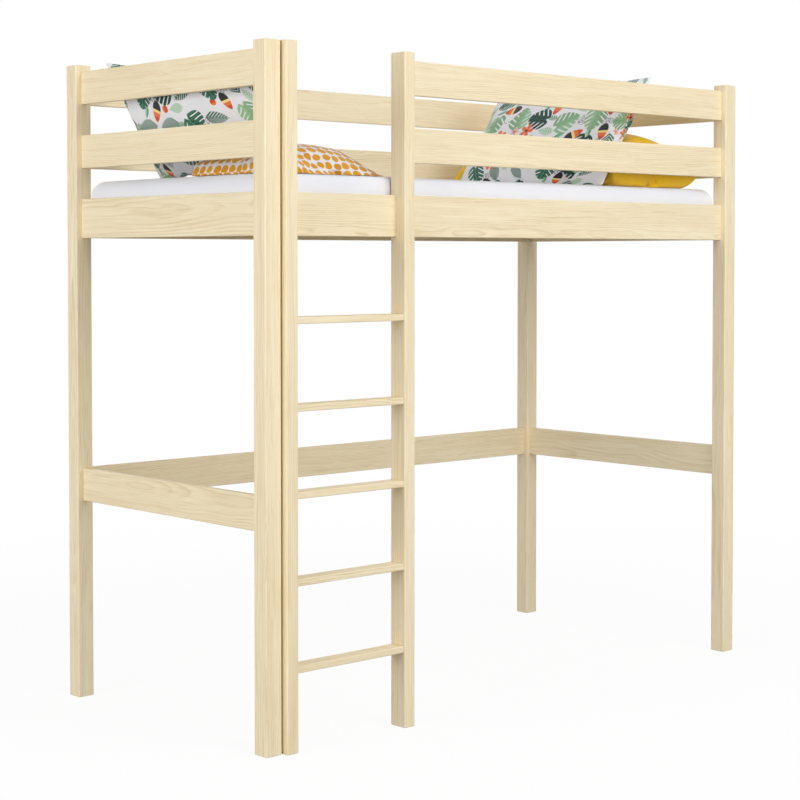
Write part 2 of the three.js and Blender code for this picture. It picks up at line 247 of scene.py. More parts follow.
def pine_for(name, kind, order):
    """A board's own pine: its grain runs along its longest side, from its own part of the log."""
    low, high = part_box(name)
    along = max(range(3), key=lambda axis: high[axis] - low[axis])
    draw = random.Random(order)
    angle = draw.uniform(0, 2 * math.pi)
    far = draw.uniform(PITH_NEAR, PITH_FAR)
    turn = GRAIN_TURN[along]
    middle = Matrix.Rotation(turn[0], 3, "X") @ Matrix.Rotation(turn[1], 3, "Y") @ ((low + high) / 2)
    place = Vector((far * math.cos(angle), far * math.sin(angle), order * LOG_STEP)) - middle

    material, tree, shader = new_material("pine_" + name, 0.55)
    grain = tree.nodes.new("ShaderNodeGroup")
    grain.node_tree = pine_groups[kind]
    feed(tree, grain.inputs["Vector"], scaled(tree, coordinates(tree), (1, 1, 1), place, turn))
    feed(tree, shader.inputs["Base Color"], grain.outputs["Color"])
    feed(tree, shader.inputs["Roughness"], grain.outputs["Roughness"])
    shader.inputs["Coat Weight"].default_value = 0.08
    shader.inputs["Coat Roughness"].default_value = 0.35
    bump(tree, shader, grain.outputs["Height"], 0.0003, 0.6)
    return material


def steel_material():
    """Zinc plating: a faint crystal cloud, brushed round by the die."""
    material, tree, shader = new_material("zinc_steel", 0.32)
    here = coordinates(tree)
    cloud = noise(tree, here, (260, 260, 260), 3.0)
    color = mix_colors(tree, cloud, srgb(176, 180, 186), srgb(212, 214, 216))
    feed(tree, shader.inputs["Base Color"], color)
    feed(tree, shader.inputs["Roughness"], 0.26 + cloud * 0.2)
    shader.inputs["Metallic"].default_value = 1.0
    bump(tree, shader, noise(tree, here, (1500, 1500, 300), 2.0), 0.0001, 0.5)
    return material


SHARPEST_ROUND = math.radians(50)   # edges that turn by more than this stay sharp


def rounded_shading():
    """Geometry nodes that shade faces smooth, except across edges sharper than the rounded ones."""
    tree = bpy.data.node_groups.new("rounded_shading", "GeometryNodeTree")
    tree.interface.new_socket("Geometry", in_out="INPUT", socket_type="NodeSocketGeometry")
    tree.interface.new_socket("Geometry", in_out="OUTPUT", socket_type="NodeSocketGeometry")
    start = tree.nodes.new("NodeGroupInput")
    faces = tree.nodes.new("GeometryNodeSetShadeSmooth")
    edges = tree.nodes.new("GeometryNodeSetShadeSmooth")
    edges.domain = "EDGE"
    edges.inputs["Shade Smooth"].default_value = False
    angle = tree.nodes.new("GeometryNodeInputMeshEdgeAngle")
    sharp = tree.nodes.new("FunctionNodeCompare")
    sharp.data_type = "FLOAT"
    sharp.operation = "GREATER_THAN"
    sharp.inputs["B"].default_value = SHARPEST_ROUND
    result = tree.nodes.new("NodeGroupOutput")
    tree.links.new(start.outputs[0], faces.inputs["Geometry"])
    tree.links.new(faces.outputs[0], edges.inputs["Geometry"])
    tree.links.new(angle.outputs["Unsigned Angle"], sharp.inputs["A"])
    tree.links.new(sharp.outputs["Result"], edges.inputs["Selection"])
    tree.links.new(edges.outputs[0], result.inputs[0])
    return tree


def round_edges(node, shading):
    """Rounded edges shade as curves and flat faces stay flat."""
    weld = node.modifiers.new("weld", "WELD")
    weld.merge_threshold = 0.00002
    smooth = node.modifiers.new("smooth", "NODES")
    smooth.node_group = shading
    weighted = node.modifiers.new("weighted", "WEIGHTED_NORMAL")
    weighted.weight = 100
    weighted.keep_sharp = True


def dress_frame():
    steel = steel_material()
    shading = rounded_shading()
    for order, (name, node) in enumerate(sorted(nodes.items())):
        if name.startswith(("mattress", "pillow")):
            continue
        if name.startswith("bolt"):
            material = steel
        else:
            kind = "slat" if name.startswith(("slat", "ledger")) else "frame"
            material = pine_for(name, kind, order)
        node.data.materials.clear()
        node.data.materials.append(material)
        round_edges(node, shading)


# ---- Fabrics -----------------------------------------------------------------------------------------------

THREAD = 0.0009              # pitch of the weave, metres


def weave(u, v):
    """Height of a plain weave over cloth coordinates in metres."""
    over = (u * (math.pi / THREAD)).sine()
    under = (v * (math.pi / THREAD)).sine()
    return over * under


def fabric(name, roughness=0.85):
    """A cloth material, with its shader and the cloth coordinates u and v in metres."""
    material, tree, shader = new_material(name, roughness)
    shader.inputs["Sheen Weight"].default_value = 0.25
    shader.inputs["Sheen Roughness"].default_value = 0.5
    shader.inputs["Specular IOR Level"].default_value = 0.25
    u, v, _ = split(tree, coordinates(tree, "UV"))
    slub = noise(tree, coordinates(tree, "UV"), (420, 60, 1), 2.0)
    bump(tree, shader, weave(u, v) * 0.5 + slub * 0.5, 0.0002, 0.5)
    return material, tree, shader, u, v


class Motifs:
    """Scattered motifs: one cell of cloth each, with coordinates turned to the motif's own direction.
    offset, in cells, sets one scatter between the motifs of another."""

    def __init__(self, tree, u, v, pitch, offset=(0.0, 0.0), looseness=0.3, turned=True):
        voronoi = tree.nodes.new("ShaderNodeTexVoronoi")
        voronoi.voronoi_dimensions = "2D"
        voronoi.inputs["Scale"].default_value = 1.0
        voronoi.inputs["Randomness"].default_value = looseness
        across = u / pitch + offset[0]
        up = v / pitch + offset[1]
        tree.links.new(combine(tree, across, up, 0.0), voronoi.inputs["Vector"])
        centre_x, centre_y, _ = split(tree, voronoi.outputs["Position"])
        dx = (across - centre_x) * pitch
        dy = (up - centre_y) * pitch
        self.pick, spin, self.shade = split(tree, voronoi.outputs["Color"])
        self.x, self.y = (turn_axes(dx, dy, spin * (2 * math.pi)) if turned else (dx, dy))

    def chosen(self, low, high):
        """1 in the share of the motifs whose draw lies between low and high."""
        return self.pick.above(low, 0.001) * self.pick.below(high, 0.001)


def turn_axes(x, y, angle):
    """Coordinates turned by an angle that varies over the surface."""
    cosine, sine = angle.math("COSINE"), angle.sine()
    return x * cosine + y * sine, y * cosine - x * sine


def turned_by(x, y, angle):
    """Coordinates turned by a fixed angle."""
    return x * math.cos(angle) + y * math.sin(angle), y * math.cos(angle) - x * math.sin(angle)


SOFT_EDGE = 0.0009           # width over which printed ink fades out, metres


def blade(x, y, long, wide):
    """Signed distance to the edge of an egg-shaped leaf that points along y, negative inside."""
    along = y / (long / 2)
    bulge = (1.0 - along * along).most(0.0)
    half = (bulge ** 0.62) * (1.0 - along * 0.28) * (wide / 2)
    return x.absolute() - half


LEAF_CUTS = 4.6              # slits along each side of a split leaf


def split_leaf(x, y, long, wide):
    """A broad leaf cut into lobes: the leaf, and its midrib with the veins of the lobes."""
    side = x.absolute()
    edge = blade(x, y, long, wide)
    comb = ((y - side * 0.75) * (LEAF_CUTS / long)).fraction()
    slit = (comb - 0.5).absolute().above(0.36, 0.06) * side.above(wide * 0.17, 0.004)
    notch = (side - (y + long * 0.33).absolute() * 0.7).below(0.0, 0.002) * y.below(-long * 0.33, 0.002)
    leaf = edge.below(0.0, SOFT_EDGE) * (1.0 - slit) * (1.0 - notch)
    rib = side.below(0.0007, 0.0006)
    vein = (comb - 0.5).absolute().below(0.035, 0.03)
    return leaf, rib.most(vein * 0.8)


def frond(x, y, long, wide, leaflets=7.0):
    """A narrow leaf of separate slanting leaflets on a stalk."""
    side = x.absolute()
    edge = blade(x, y, long, wide)
    comb = ((y - side * 1.1) * (leaflets / long)).fraction()
    leaflet = (comb - 0.5).absolute().below(0.33, 0.08)
    stalk = side.below(0.0009, 0.0006) * y.absolute().below(long * 0.55, 0.001)
    return (edge.below(0.0, SOFT_EDGE) * leaflet).most(stalk)


def line_leaf(x, y, long, wide):
    """The thin drawn outline of a leaf with its midrib."""
    edge = blade(x, y, long, wide)
    outline = edge.absolute().below(0.0006, 0.0006)
    rib = x.absolute().below(0.0004, 0.0005) * y.absolute().below(long * 0.55, 0.001)
    return outline.most(rib) * y.absolute().below(long * 0.52, 0.001)


def blossom(x, y, radius):
    """Five round petals, their creases, and the eye."""
    reach = hypotenuse(x, y)
    turn = y.math("ARCTAN2", x)
    petal = (turn * 2.5).sine().absolute()
    flower = (reach - (petal ** 0.5) * radius).below(0.0, SOFT_EDGE)
    crease = petal.above(0.985, 0.01) * reach.below(radius * 0.62, 0.001)
    return flower, crease, reach.below(radius * 0.2, 0.0008)


PRINT_PITCH = 0.090          # metres between the print's leaves
PRINT_STRETCH = 1.2          # the print is this much longer along the pillow
PALE_GREEN = (158, 200, 158)
MOSS = (112, 160, 118)
FOREST = (38, 104, 80)
PINE_GREEN = (16, 62, 52)
MINT = (152, 214, 192)
CORAL = (238, 118, 66)
BLUSH = (240, 184, 170)
RUST = (214, 78, 36)
BRICK = (176, 84, 70)
MAROON = (110, 30, 24)
VEIN_GREEN = (122, 176, 146)
CREAM = (250, 222, 140)
INK = (38, 40, 44)
CLOTH_WHITE = (243, 243, 247)
CLOTH_GREY = (235, 235, 241)


LEAF_SHADE = 0.88            # tone of a split leaf's darker half
TWIG_LEAN = 0.62             # radians between the leaves of a drawn twig


def leaf_print_material():
    """White cotton with a loose print of leaves, blossoms, seed pods, drawn twigs and specks."""
    material, tree, shader, u, v = fabric("leaf_print")
    u = u / PRINT_STRETCH
    cloud = noise(tree, coordinates(tree, "UV"), (9, 9, 1))
    color = mix_colors(tree, cloud, srgb(*CLOTH_WHITE), srgb(*CLOTH_GREY))

    def ink(mask, tone):
        nonlocal color
        ready = tone if hasattr(tone, "is_output") else srgb(*tone)
        color = mix_colors(tree, mask.clamped(), color, ready)

    # Each scatter's motifs share out the draws between 0 and 1, and the rest of its cells stay empty.
    tiny = Motifs(tree, u, v, PRINT_PITCH * 0.16, looseness=0.8)
    patch = Motifs(tree, u, v, PRINT_PITCH, (0.5, 0.0))
    specks = hypotenuse(tiny.x, tiny.y).below(0.0018, 0.0007)
    ink(specks * patch.chosen(0.0, 0.3) * hypotenuse(patch.x, patch.y).below(0.017, 0.002), INK)
    twig = patch.chosen(0.3, 0.62)
    for lean in (-TWIG_LEAN, 0.0, TWIG_LEAN):
        x, y = (patch.x, patch.y + 0.006) if lean == 0 else turned_by(patch.x, patch.y + 0.006, lean)
        ink(line_leaf(x, y - 0.014, 0.025, 0.011) * twig, INK)
    ink(frond(patch.x, patch.y, 0.036, 0.017, 5.0) * patch.chosen(0.62, 0.85), MOSS)

    small = Motifs(tree, u, v, PRINT_PITCH, (0.0, 0.5))
    flower, crease, eye = blossom(small.x, small.y, 0.0165)
    ink(flower * small.chosen(0.0, 0.3), BLUSH)
    ink((crease * 0.7).most(eye) * small.chosen(0.0, 0.3), BRICK)
    leaf = blade(small.x, small.y, 0.034, 0.015).below(0.0, SOFT_EDGE) * small.chosen(0.3, 0.55)
    ink(leaf, mix_colors(tree, small.x.above(0.0, 0.002), srgb(*MINT), srgb(*MOSS)))
    berry = hypotenuse(small.x, small.y).below(0.0105, SOFT_EDGE) * small.chosen(0.55, 0.75)
    ink(berry, mix_colors(tree, small.y.above(0.002, 0.001), srgb(*RUST), srgb(*CORAL)))

    main = Motifs(tree, u, v, PRINT_PITCH)
    greens = (
        (0.0, 0.38, PALE_GREEN, MOSS),
        (0.38, 0.64, FOREST, VEIN_GREEN),
        (0.64, 0.78, PINE_GREEN, FOREST),
    )
    leaf, veins = split_leaf(main.x, main.y, 0.080, 0.070)
    for low, high, tone, vein in greens:
        darker = [round(part * LEAF_SHADE) for part in tone]
        shade = mix_colors(tree, main.x.above(0.0, 0.03), srgb(*tone), srgb(*darker))
        ink(leaf * main.chosen(low, high), shade)
        ink(leaf * veins * main.chosen(low, high), vein)
    ink(frond(main.x, main.y, 0.076, 0.040) * main.chosen(0.78, 1.0), FOREST)

    other = Motifs(tree, u, v, PRINT_PITCH, (0.5, 0.5))
    flower, crease, eye = blossom(other.x, other.y, 0.0235)
    ink(flower * other.chosen(0.0, 0.34), CORAL)
    ink(crease * other.chosen(0.0, 0.34), RUST)
    ink(eye * other.chosen(0.0, 0.34), MAROON)
    pod = blade(other.x, other.y, 0.060, 0.030).below(0.0, SOFT_EDGE) * other.chosen(0.34, 0.66)
    ink(pod, INK)
    ink(pod * other.y.above(-0.004, 0.001), CREAM)
    ink(pod * other.y.above(0.004, 0.001), CORAL)
    ink(pod * other.y.above(0.016, 0.001), RUST)
    ink(frond(other.x, other.y, 0.05, 0.026, 6.0) * other.chosen(0.66, 0.9), PALE_GREEN)

    feed(tree, shader.inputs["Base Color"], color)
    return material


DOT_PITCH = 0.0345           # metres between the dots
DOT_RADIUS = 0.0127          # the smallest dots
DOT_SPREAD = 0.0038          # how much larger the largest are


def dot_print_material():
    """Off-white cotton with rows of mustard dots of uneven size."""
    material, tree, shader, u, v = fabric("dot_print")
    dots = Motifs(tree, u, v, DOT_PITCH, looseness=0.12, turned=False)
    size = dots.pick * DOT_SPREAD + DOT_RADIUS
    mask = (hypotenuse(dots.x, dots.y) - size).below(0.0, SOFT_EDGE)
    shade = mix_colors(tree, dots.shade, srgb(216, 154, 16), srgb(206, 141, 8))
    cloud = noise(tree, coordinates(tree, "UV"), (9, 9, 1))
    ground = mix_colors(tree, cloud, srgb(232, 230, 233), srgb(222, 219, 223))
    feed(tree, shader.inputs["Base Color"], mix_colors(tree, mask, ground, shade))
    return material


def mustard_material():
    """Plain cotton with a heathered yarn."""
    material, tree, shader, *_ = fabric("mustard_cotton", 0.8)
    cloud = noise(tree, coordinates(tree, "UV"), (14, 14, 1), 3.0)
    heather = noise(tree, coordinates(tree, "UV"), (900, 120, 1), 2.0)
    tone = (cloud * 0.6 + heather * 0.4).clamped()
    color = mix_colors(tree, tone, srgb(232, 182, 22), srgb(252, 210, 48))
    feed(tree, shader.inputs["Base Color"], color)
    return material


def mattress_material():
    """Brushed white jersey, faintly blue."""
    material, tree, shader, *_ = fabric("mattress_cover", 0.9)
    here = coordinates(tree)
    cloud = noise(tree, here, (5, 5, 5), 3.0)
    color = mix_colors(tree, cloud, srgb(240, 241, 247), srgb(232, 234, 242))
    feed(tree, shader.inputs["Base Color"], color)
    return material


# ---- Soft pieces -------------------------------------------------------------------------------------------

def mesh_object(name, vertices, faces, uvs, material):
    """A smooth mesh; uvs gives each face's corner coordinates in metres of cloth."""
    mesh = bpy.data.meshes.new(name)
    mesh.from_pydata([tuple(vertex) for vertex in vertices], [], faces)
    layer = mesh.uv_layers.new(name="cloth")
    layer.data.foreach_set("uv", np.array(uvs, np.float32).ravel())
    mesh.polygons.foreach_set("use_smooth", [True] * len(mesh.polygons))
    mesh.materials.append(material)
    piece = bpy.data.objects.new(name, mesh)
    scene.collection.objects.link(piece)
    return piece


CLOTH_STEP = 0.011           # side of the cloth's squares
CLOTH_LIFT = 0.003           # how far each of the first squares in from the edge rises
LIFTED = 3                   # how many do
UNDER_SHIFT = 2.0            # metres of cloth between the upper sheet's print and the lower one's


def slip_cover(name, long, wide, material, print_at):
    """Two sheets of cloth sewn together round their edge, centred on the origin: long along X, wide along Y.
    Also gives the numbers of the upper sheet's vertices, in rows along X."""
    columns = round(long / CLOTH_STEP)
    rows = round(wide / CLOTH_STEP)
    vertices = []
    number = {}
    for side in (1, -1):
        for j in range(rows + 1):
            for i in range(columns + 1):
                if side < 0 and (i in (0, columns) or j in (0, rows)):
                    number[side, i, j] = number[1, i, j]
                    continue
                number[side, i, j] = len(vertices)
                inner = min(i, columns - i, j, rows - j)
                height = side * CLOTH_LIFT * min(inner, LIFTED)
                vertices.append((long * (i / columns - 0.5), wide * (j / rows - 0.5), height))
    faces = []
    uvs = []
    for side in (1, -1):
        for j in range(rows):
            for i in range(columns):
                corners = [(i, j), (i + 1, j), (i + 1, j + 1), (i, j + 1)]
                if side < 0:
                    corners.reverse()
                faces.append([number[side, a, b] for a, b in corners])
                start = print_at[0] + (0.0 if side > 0 else UNDER_SHIFT)
                uvs += [(start + long * a / columns, print_at[1] + wide * b / rows) for a, b in corners]
    upper = np.array([[number[1, i, j] for i in range(columns + 1)] for j in range(rows + 1)])
    return mesh_object(name, vertices, faces, uvs, material), upper


def positions(piece):
    co = np.zeros(len(piece.data.vertices) * 3, np.float32)
    piece.data.vertices.foreach_get("co", co)
    return co.reshape(-1, 3).astype(float)


def set_positions(piece, co):
    piece.data.vertices.foreach_set("co", co.astype(np.float32).ravel())
    piece.data.update()


FILL_FRAMES = 34
FILL_PRESSURE = 3.5


def inflate(piece, litres):
    """Fills the slip with stuffing: pressure until it holds its volume, then keeps the resulting shape."""
    cloth = piece.modifiers.new("Cloth", "CLOTH")
    settings = cloth.settings
    settings.quality = 6
    settings.mass = 0.15
    settings.tension_stiffness = 25
    settings.compression_stiffness = 12
    settings.shear_stiffness = 6
    settings.bending_stiffness = 0.4
    settings.tension_damping = 12
    settings.compression_damping = 12
    settings.air_damping = 4
    settings.use_pressure = True
    settings.uniform_pressure_force = FILL_PRESSURE
    settings.use_pressure_volume = True
    settings.target_volume = litres / 1000
    settings.effector_weights.gravity = 0.0
    cloth.collision_settings.use_collision = False
    cloth.point_cache.frame_start = 1
    cloth.point_cache.frame_end = FILL_FRAMES
    for number in range(1, FILL_FRAMES + 1):
        scene.frame_set(number)
    graph = bpy.context.evaluated_depsgraph_get()
    result = piece.evaluated_get(graph)
    co = np.zeros(len(result.data.vertices) * 3, np.float32)
    result.data.vertices.foreach_get("co", co)
    piece.modifiers.remove(cloth)
    set_positions(piece, co.reshape(-1, 3))
    scene.frame_set(1)


def refine(piece):
    """One level of subdivision, applied."""
    modifier = piece.modifiers.new("fine", "SUBSURF")
    modifier.levels = 1
    modifier.render_levels = 1
    graph = bpy.context.evaluated_depsgraph_get()
    mesh = bpy.data.meshes.new_from_object(piece.evaluated_get(graph))
    piece.modifiers.remove(modifier)
    old = piece.data
    piece.data = mesh
    bpy.data.meshes.remove(old)
    mesh.polygons.foreach_set("use_smooth", [True] * len(mesh.polygons))


def soft_floor(value, floor, ease):
    """value where it is well above floor, easing to just above floor below it."""
    over = value - floor
    return floor + 0.5 * (over + np.sqrt(over * over + ease * ease))


def soft_ceiling(value, ceiling, ease):
    return -soft_floor(-value, -ceiling, ease)


def smooth_step(value, low, high):
    """0 up to low, 1 from high."""
    share = np.clip((value - low) / (high - low), 0, 1)
    return share * share * (3 - 2 * share)


def straightened(value, along, first, last, hollow):
    """Lets out the edges of a pillow: value runs from about 0 at the first edge to about 1 at the last, and
    hollow is the share of an edge's inward sag between the corners that stays."""
    first = first[np.argsort(along[first])]
    last = last[np.argsort(along[last])]
    start = np.interp(along, along[first], value[first]) * np.clip(1 - 2 * value, 0, 1)
    end = (np.interp(along, along[last], value[last]) - 1) * np.clip(2 * value - 1, 0, 1)
    return value - (1 - hollow) * (start + end)


SLACK_LONG, SLACK_WIDE = 1.06, 1.07   # a flat cover's size over its pillow's: filling draws the edges in
EDGE_HOLLOW = 0.15


class Pillow:
    """A filled pillow: a and b run from 0 to 1 between its corner tips, c from -1 to 1 through it."""

    def __init__(self, name, long, wide, litres, material, print_at=(0.0, 0.0), hollow=EDGE_HOLLOW):
        self.piece, self.upper = slip_cover(name, long * SLACK_LONG, wide * SLACK_WIDE, material, print_at)
        inflate(self.piece, litres)
        co = positions(self.piece)
        tips = self.upper[[0, 0, -1, -1], [0, -1, 0, -1]]
        reach = np.abs(co[tips, :2]).mean(0)
        a, b = (co[:, :2] / reach / 2 + 0.5).T
        self.a = straightened(a, b, self.upper[:, 0], self.upper[:, -1], hollow)
        self.b = straightened(b, a, self.upper[0], self.upper[-1], hollow)
        self.c = co[:, 2] / np.abs(co[:, 2]).max()

    def level_print(self, co):
        """Lays the print along the finished upper sheet, measured from its front edge and its nearer end."""
        sheet = co[self.upper]
        along = np.zeros(self.upper.shape)
        up = np.zeros(self.upper.shape)
        along[:, :-1] = np.cumsum(np.linalg.norm(np.diff(sheet, axis=1), axis=2)[:, ::-1], axis=1)[:, ::-1]
        up[1:] = np.cumsum(np.linalg.norm(np.diff(sheet, axis=0), axis=2), axis=0)
        total = along[:, :1].copy()
        from_left = smooth_step(np.linspace(1, 0, along.shape[1]), 0.35, 0.65)
        along += (total.mean() - total) * from_left
        place = np.zeros((len(co), 2))
        place[self.upper] = np.stack([along, up], axis=-1)
        mesh = self.piece.data
        corners = np.zeros(len(mesh.loops), np.int32)
        mesh.loops.foreach_get("vertex_index", corners)
        uv = np.zeros(len(mesh.loops) * 2, np.float32)
        mesh.uv_layers[0].data.foreach_get("uv", uv)
        uv = uv.reshape(-1, 2)
        rows, columns = self.upper.shape
        count = 4 * (rows - 1) * (columns - 1)
        uv[:count] = place[corners[:count]]
        mesh.uv_layers[0].data.foreach_set("uv", uv.ravel())

    def finish(self, co, node):
        set_positions(self.piece, co)
        refine(self.piece)
        declare(self.piece, node)


def spread(corners, a, b):
    """Places a and b between four corners, given as [start low, start high, end low, end high]."""
    first_low, first_high, last_low, last_high = (np.array(corner)[None] for corner in corners)
    a, b = a[:, None], b[:, None]
    first = first_low * (1 - a) * (1 - b) + first_high * (1 - a) * b
    return first + last_low * a * (1 - b) + last_high * a * b


def across(corners):
    """The direction through a pillow spread between four corners."""
    first_low, first_high, last_low, last_high = (np.array(corner) for corner in corners)
    along = last_low + last_high - first_low - first_high
    up = first_high + last_high - first_low - last_low
    normal = np.cross(along, up)
    return normal / np.linalg.norm(normal)


def declare(piece, node):
    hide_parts(node)
    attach(piece, node)


mattress_low, mattress_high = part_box("mattress")
BED_TOP = mattress_high.z
REST = 0.0006                # how far a resting surface stays above the one below it


def surface_under(piece, co, elsewhere):
    """Height of a lying piece's top surface at each point's place in plan."""
    tree = BVHTree.FromObject(piece, bpy.context.evaluated_depsgraph_get())
    down = Vector((0, 0, -1))
    hits = [tree.ray_cast(Vector((x, y, elsewhere + 1)), down)[0] for x, y, _ in co]
    return np.array([elsewhere if hit is None else hit.z for hit in hits])


LEAF_LONG = 0.70
LEAF_LITRES = 13.0
LEAF_HALF = 0.052            # from a leaf pillow's middle to its face, before its filling sinks


def leaf_half(b):
    """A standing leaf pillow's half thickness: its filling has sunk, so it is thicker at the foot."""
    return LEAF_HALF * (1.12 - 0.3 * b)


def leaning_left(material, dots):
    """Leans on the left end's upper guard. Its near part stands on the flattened side of the dot pillow."""
    low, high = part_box("pillow_leaf_left")
    _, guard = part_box("guard_left_upper")
    _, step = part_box("pillow_dots")
    near, far = low.y, high.y + 0.008
    foot_near, foot_far = 0.056, -0.014
    top_near, top_far = 0.333, 0.366
    corners = [
        (guard.x + 0.162, near, BED_TOP + foot_near),
        (guard.x + 0.010, near, BED_TOP + top_near),
        (guard.x + 0.206, far, BED_TOP + foot_far),
        (guard.x + 0.007, high.y + 0.036, BED_TOP + top_far),
    ]
    pillow = Pillow("leaf_pillow_left", LEAF_LONG, 0.395, LEAF_LITRES, material, (0.16, 0.075), hollow=0.5)
    a, b = pillow.a, pillow.b
    co = spread(corners, a, b) + (pillow.c * leaf_half(b))[:, None] * across(corners)
    line = foot_near + (foot_far - foot_near) * a
    on_dots = smooth_step(-co[:, 1], -step.y - 0.02, 0.05 - step.y)
    foot = foot_far + (foot_near - foot_far) * on_dots
    co[:, 2] += (foot - line) * np.clip(1 - b, 0, 1) ** 1.5
    co[:, 0] = soft_floor(co[:, 0], guard.x + REST, 0.006)
    co[:, 2] = soft_floor(co[:, 2], surface_under(dots, co, BED_TOP) + REST, 0.005)
    pillow.finish(co, "pillow_leaf_left")


def leaning_right(material):
    """Stands in front of the mustard pillow and leans back on it."""
    low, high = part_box("pillow_leaf_right")
    foot, top = low.x + 0.008, high.x - 0.007
    sunk = BED_TOP - 0.012
    corners = [
        (foot, low.y - 0.006, sunk),
        (top, low.y - 0.010, high.z + 0.019),
        (foot, high.y, sunk),
        (top, high.y, high.z + 0.016),
    ]
    pillow = Pillow("leaf_pillow_right", LEAF_LONG, 0.44, LEAF_LITRES, material, (0.43, 0.29))
    co = spread(corners, pillow.a, pillow.b) + (pillow.c * leaf_half(pillow.b))[:, None] * across(corners)
    co[:, 2] = soft_floor(co[:, 2], BED_TOP + REST, 0.005)
    pillow.finish(co, "pillow_leaf_right")


def lying_dots(material):
    """Lies flat: a low dome, with its left side pressed down by the pillow that stands there."""
    low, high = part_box("pillow_dots")
    seam = BED_TOP + 0.0015
    pressed_height = 0.055
    corners = [
        (low.x - 0.010, low.y, seam),
        (low.x - 0.014, high.y + 0.045, seam),
        (high.x, low.y, seam),
        (high.x, high.y, seam),
    ]
    pillow = Pillow("dot_pillow", high.x - low.x, high.y - low.y, 8.0, material)
    a, b, c = np.clip(pillow.a, 0, 1), np.clip(pillow.b, 0, 1), np.clip(pillow.c, 0, 1)
    co = spread(corners, pillow.a, pillow.b)
    tucked = ((1 - a) * b) ** 5
    co[:, 0] += 0.012 * tucked
    co[:, 1] -= 0.018 * tucked
    dome = (high.z - seam) * 1.03 * c ** 0.9 * (4 * b * (1 - b)) ** 0.7
    pressed = pressed_height * c ** 0.22
    free = smooth_step(a, 0.14, 0.42)
    co[:, 2] += np.where(pillow.c > 0, dome * free + pressed * (1 - free), pillow.c * 0.0005)
    co[:, 2] = soft_floor(co[:, 2], BED_TOP + REST, 0.001)
    pillow.level_print(co)
    pillow.finish(co, "pillow_dots")
    return pillow.piece


def lying_mustard(material):
    """Plump, its left flank pushed down by the pillow that leans on it."""
    low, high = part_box("pillow_mustard")
    leaf_low, leaf_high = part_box("pillow_leaf_right")
    seam = BED_TOP + 0.041
    crown = 0.03
    corners = [
        (high.x + 0.020, low.y - 0.012, seam + 0.004),
        (low.x, low.y, seam),
        (high.x, high.y, seam),
        (low.x, high.y, seam),
    ]
    pillow = Pillow("mustard_pillow", high.y - low.y, high.x - low.x, 26.0, material)
    a, b, c = np.clip(pillow.a, 0, 1), np.clip(pillow.b, 0, 1), pillow.c
    co = spread(corners, pillow.a, pillow.b)
    co[:, 2] += crown * 4 * a * (1 - a) * 4 * b * (1 - b)
    upper = np.abs(c) ** 0.72 * (high.z - seam - 0.004)
    lower = np.abs(c) ** 0.7 * 0.105
    co[:, 2] += np.where(c > 0, upper, -lower)
    slope = (leaf_high.z - BED_TOP) / (leaf_high.x - leaf_low.x)
    leaf_back = BED_TOP + (co[:, 0] - leaf_low.x - 0.012) * slope - LEAF_HALF * math.hypot(1, slope)
    under = smooth_step(co[:, 1], leaf_low.y - 0.04, leaf_low.y + 0.05)
    under *= smooth_step(-co[:, 1], -leaf_high.y - 0.05, 0.04 - leaf_high.y)
    ceiling = leaf_back + (1 - under) * 0.2
    co[:, 2] = soft_ceiling(co[:, 2], np.maximum(ceiling, BED_TOP + 0.012), 0.012)
    co[:, 2] = soft_floor(co[:, 2], BED_TOP + REST, 0.003)
    pillow.finish(co, "pillow_mustard")


# ---- Mattress ----------------------------------------------------------------------------------------------

ROLL = 0.045                 # radius of its rolled edges
ROLL_STEPS = 6
GRID_STEP = 0.03
PLAN_POWER = 2.4             # roundness of its corners in plan: 2 is a circle
SIDE_BULGE = 0.002
SEAM_DEEP = 0.003            # the seam round its middle
SEAM_HALF = 0.0035
UNEVEN = 0.0008              # metres that its top varies by


def grid_lines(half):
    """Places of a grid's lines from -half to half, close together over the rolled edges."""
    edge = [-half + ROLL * index / ROLL_STEPS for index in range(ROLL_STEPS)]
    inner = half - ROLL
    count = max(2, round(2 * inner / GRID_STEP))
    middle = [-inner + 2 * inner * index / count for index in range(count + 1)]
    return edge + middle + [-place for place in edge[::-1]]


def box_grid(half):
    """The six faces of a box as grids with shared edges: points and faces."""
    lines = [grid_lines(length) for length in half]
    number = {}
    points = []
    faces = []

    def point(place):
        key = tuple(round(value, 6) for value in place)
        if key not in number:
            number[key] = len(points)
            points.append(place)
        return number[key]

    for axis in range(3):
        first, second = (axis + 1) % 3, (axis + 2) % 3
        for side in (-1, 1):
            for low_u, high_u in zip(lines[first], lines[first][1:]):
                for low_v, high_v in zip(lines[second], lines[second][1:]):
                    corners = []
                    for u, v in ((low_u, low_v), (high_u, low_v), (high_u, high_v), (low_u, high_v)):
                        place = [0.0, 0.0, 0.0]
                        place[axis], place[first], place[second] = side * half[axis], u, v
                        corners.append(point(place))
                    faces.append(corners if side > 0 else corners[::-1])
    return np.array(points), faces


